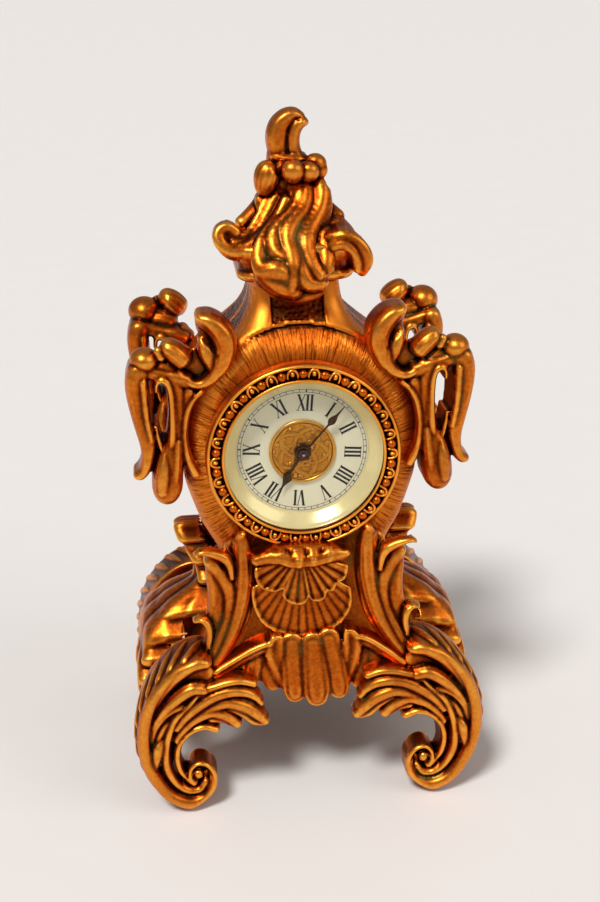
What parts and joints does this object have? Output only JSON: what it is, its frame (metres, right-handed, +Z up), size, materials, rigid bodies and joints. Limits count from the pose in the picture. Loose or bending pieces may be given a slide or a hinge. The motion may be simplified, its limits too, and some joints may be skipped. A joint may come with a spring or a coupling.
{
  "type": "boudoir clock",
  "caption": "Small rococo table clock in cast bronze: scroll legs, corner handles, shell panel, flame finial, round Roman dial under glass, wind-up movement in a drum.",
  "frame": {"origin": "centre of the base, on the surface that the four feet stand on", "axes": "+Z up, dial faces -Y, +X to the right seen from the front"},
  "size_m": [0.1196, 0.091, 0.2285],
  "materials": {
    "gilt_bronze": "worn copper-gold plating over a casting, dark red-brown in the recesses",
    "brass": "plain turned and stamped brass",
    "steel": "plain bright steel",
    "blued_steel": "near-black blued steel",
    "glass": "clear domed glass",
    "dial_enamel": "satin off-white dial with black printing"
  },
  "bodies": {
    "case": {"case_front": "gilt_bronze", "case_back": "gilt_bronze", "plinth": "gilt_bronze", "finial": "gilt_bronze", "finial_stud": "steel", "finial_nut": "steel", "handle_front_left": "gilt_bronze", "handle_front_right": "gilt_bronze", "handle_back_left": "gilt_bronze", "handle_back_right": "gilt_bronze", "leg_front_left": "gilt_bronze", "leg_front_right": "gilt_bronze", "leg_back_left": "gilt_bronze", "leg_back_right": "gilt_bronze", "front_shell": "gilt_bronze", "front_apron": "gilt_bronze", "back_apron": "gilt_bronze", "side_leaf_left": "gilt_bronze", "side_leaf_right": "gilt_bronze", "bezel": "gilt_bronze", "glass": "glass", "sight_ring": "brass", "dial": "dial_enamel", "dial_centre": "brass", "drum": "brass", "drum_cover": "brass", "front_plate": "brass", "back_plate": "brass", "pillar_a": "brass", "pillar_b": "brass", "pillar_c": "brass", "mainspring": "steel", "hairspring": "steel"},
    "centre": {"centre_arbor": "steel", "centre_wheel": "brass", "cannon_pinion": "steel", "minute_hand": "blued_steel", "hand_nut": "brass", "set_knob": "brass"},
    "hour": {"hour_wheel": "brass", "hour_hand": "blued_steel"},
    "minute_work": {"minute_wheel": "brass"},
    "great": {"great_wheel": "brass"},
    "click": {"click": "steel"},
    "winding": {"winding_arbor": "steel", "ratchet_wheel": "steel", "winding_key": "brass"},
    "third": {"third_wheel": "brass"},
    "fourth": {"fourth_wheel": "brass"},
    "escape": {"escape_wheel": "brass"},
    "pallet": {"pallet_lever": "steel"},
    "balance": {"balance_wheel": "brass"},
    "regulator": {"regulator_lever": "steel"}
  },
  "joints": [
    {"name": "hands_turn", "type": "hinge", "parent": "case", "child": "centre", "pos_m": [0, 0, 0.1233], "axis": [0, 1, 0], "continuous": true},
    {"name": "hour_turn", "type": "hinge", "parent": "case", "child": "hour", "pos_m": [0, 0, 0.1233], "axis": [0, 1, 0], "continuous": true},
    {"name": "minute_wheel_turn", "type": "hinge", "parent": "case", "child": "minute_work", "pos_m": [0.00693, 0, 0.1193], "axis": [0, 1, 0], "continuous": true},
    {"name": "great_wheel_turn", "type": "hinge", "parent": "case", "child": "great", "pos_m": [0, 0, 0.11226], "axis": [0, 1, 0], "continuous": true},
    {"name": "click_swing", "type": "hinge", "parent": "great", "child": "click", "pos_m": [-0.007, 0, 0.11226], "axis": [0, 1, 0], "range_deg": [0, 10], "stiffness_Nm_per_rad": 0.0001, "springref_deg": -8.59},
    {"name": "winding_turn", "type": "hinge", "parent": "case", "child": "winding", "pos_m": [0, 0, 0.11226], "axis": [0, 1, 0], "continuous": true},
    {"name": "third_wheel_turn", "type": "hinge", "parent": "case", "child": "third", "pos_m": [0.0084, 0, 0.12795], "axis": [0, 1, 0], "continuous": true},
    {"name": "fourth_wheel_turn", "type": "hinge", "parent": "case", "child": "fourth", "pos_m": [0.0042, 0, 0.13523], "axis": [0, 1, 0], "continuous": true},
    {"name": "escape_wheel_turn", "type": "hinge", "parent": "case", "child": "escape", "pos_m": [-0.00289, 0, 0.13398], "axis": [0, 1, 0], "continuous": true},
    {"name": "pallet_rock", "type": "hinge", "parent": "case", "child": "pallet", "pos_m": [-0.00762, 0, 0.13079], "axis": [0, 1, 0], "range_deg": [-4, 4]},
    {"name": "balance_swing", "type": "hinge", "parent": "case", "child": "balance", "pos_m": [-0.01448, 0, 0.12667], "axis": [0, 1, 0], "range_deg": [-200, 200], "stiffness_Nm_per_rad": 0.0000016},
    {"name": "regulator_swing", "type": "hinge", "parent": "case", "child": "regulator", "pos_m": [-0.01448, 0, 0.12667], "axis": [0, 1, 0], "range_deg": [-25, 25]}
  ],
  "couplings": [
    {"joint": "hour_turn", "follows": "hands_turn", "ratio": 0.083333},
    {"joint": "minute_wheel_turn", "follows": "hands_turn", "ratio": -0.33333},
    {"joint": "great_wheel_turn", "follows": "hands_turn", "ratio": -0.2},
    {"joint": "third_wheel_turn", "follows": "hands_turn", "ratio": -5},
    {"joint": "fourth_wheel_turn", "follows": "hands_turn", "ratio": 25},
    {"joint": "escape_wheel_turn", "follows": "hands_turn", "ratio": -125}
  ]
}
